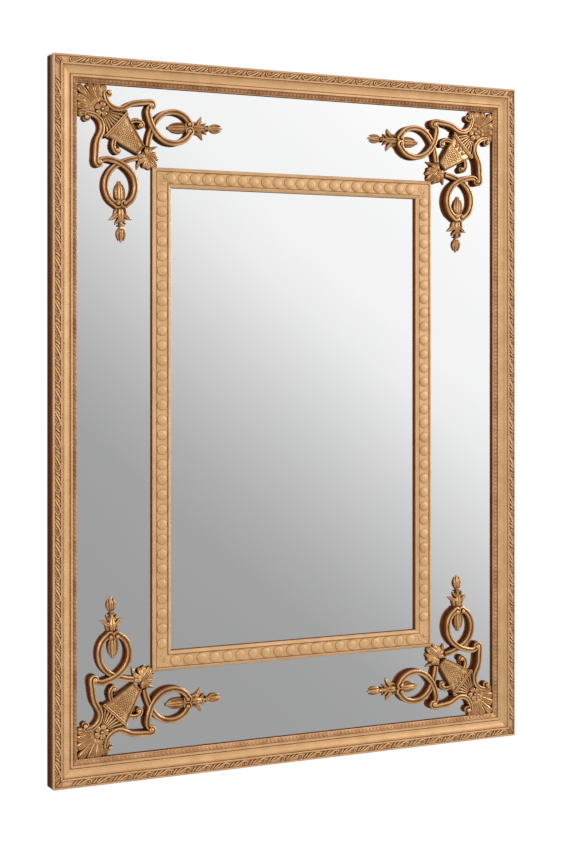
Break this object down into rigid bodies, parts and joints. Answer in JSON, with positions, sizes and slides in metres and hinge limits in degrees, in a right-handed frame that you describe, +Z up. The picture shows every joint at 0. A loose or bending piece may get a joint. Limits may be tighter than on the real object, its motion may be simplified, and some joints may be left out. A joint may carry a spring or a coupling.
{
  "type": "wall mirror",
  "caption": "Tall rectangular wall mirror with margin mirrors, a disc-carved inner frame, a gilt outer frame, openwork corner ornaments and hinged D-ring hangers.",
  "frame": {"origin": "midway between the two wall hooks, on the wall, at the height where the raised D-rings bear on them", "axes": "+X to the viewer's right, +Y into the wall, so the mirror faces -Y, +Z up"},
  "size_m": [0.9, 0.0384, 1.2],
  "materials": {
    "gilt_moulding": "antiqued light gold leaf finish over carved wood, brown in the recesses",
    "gilt_ornament": "antiqued dark gold finish over a cast composition ornament",
    "mirror_glass": "silvered float glass, 4 mm",
    "fibreboard": "plain smooth brown fibreboard",
    "steel": "zinc plated steel",
    "wall_pad": "matt dark rubber"
  },
  "bodies": {
    "frame": {"backing_board": "fibreboard", "board_clip_bottom_1": "steel", "board_clip_bottom_2": "steel", "board_clip_left_1": "steel", "board_clip_left_2": "steel", "board_clip_right_1": "steel", "board_clip_right_2": "steel", "board_clip_screw_bottom_1": "steel", "board_clip_screw_bottom_2": "steel", "board_clip_screw_left_1": "steel", "board_clip_screw_left_2": "steel", "board_clip_screw_right_1": "steel", "board_clip_screw_right_2": "steel", "board_clip_screw_top_1": "steel", "board_clip_screw_top_2": "steel", "board_clip_top_1": "steel", "board_clip_top_2": "steel", "centre_mirror": "mirror_glass", "corner_ornament_bottom_left": "gilt_ornament", "corner_ornament_bottom_right": "gilt_ornament", "corner_ornament_top_left": "gilt_ornament", "corner_ornament_top_right": "gilt_ornament", "hanger_screw_left_1": "steel", "hanger_screw_left_2": "steel", "hanger_screw_right_1": "steel", "hanger_screw_right_2": "steel", "hanger_strap_left": "steel", "hanger_strap_right": "steel", "inner_frame_bottom": "gilt_moulding", "inner_frame_left": "gilt_moulding", "inner_frame_right": "gilt_moulding", "inner_frame_screw_bottom_1": "steel", "inner_frame_screw_left_1": "steel", "inner_frame_screw_left_2": "steel", "inner_frame_screw_right_1": "steel", "inner_frame_screw_right_2": "steel", "inner_frame_screw_top_1": "steel", "inner_frame_top": "gilt_moulding", "margin_mirror_bottom": "mirror_glass", "margin_mirror_left": "mirror_glass", "margin_mirror_right": "mirror_glass", "margin_mirror_top": "mirror_glass", "mitre_key_bottom_left": "steel", "mitre_key_bottom_right": "steel", "mitre_key_top_left": "steel", "mitre_key_top_right": "steel", "outer_frame_bottom": "gilt_moulding", "outer_frame_left": "gilt_moulding", "outer_frame_right": "gilt_moulding", "outer_frame_top": "gilt_moulding", "wall_pad_bottom_1": "wall_pad", "wall_pad_bottom_2": "wall_pad", "wall_pad_top_1": "wall_pad", "wall_pad_top_2": "wall_pad"},
    "ring_left": {"hanger_ring_left": "steel"},
    "ring_right": {"hanger_ring_right": "steel"}
  },
  "joints": [
    {"name": "ring_left_swing", "type": "hinge", "parent": "frame", "child": "ring_left", "pos_m": [-0.432, -0.0041, -0.018], "axis": [1, 0, 0], "range_deg": [0, 180]},
    {"name": "ring_right_swing", "type": "hinge", "parent": "frame", "child": "ring_right", "pos_m": [0.432, -0.0041, -0.018], "axis": [1, 0, 0], "range_deg": [0, 180]}
  ]
}
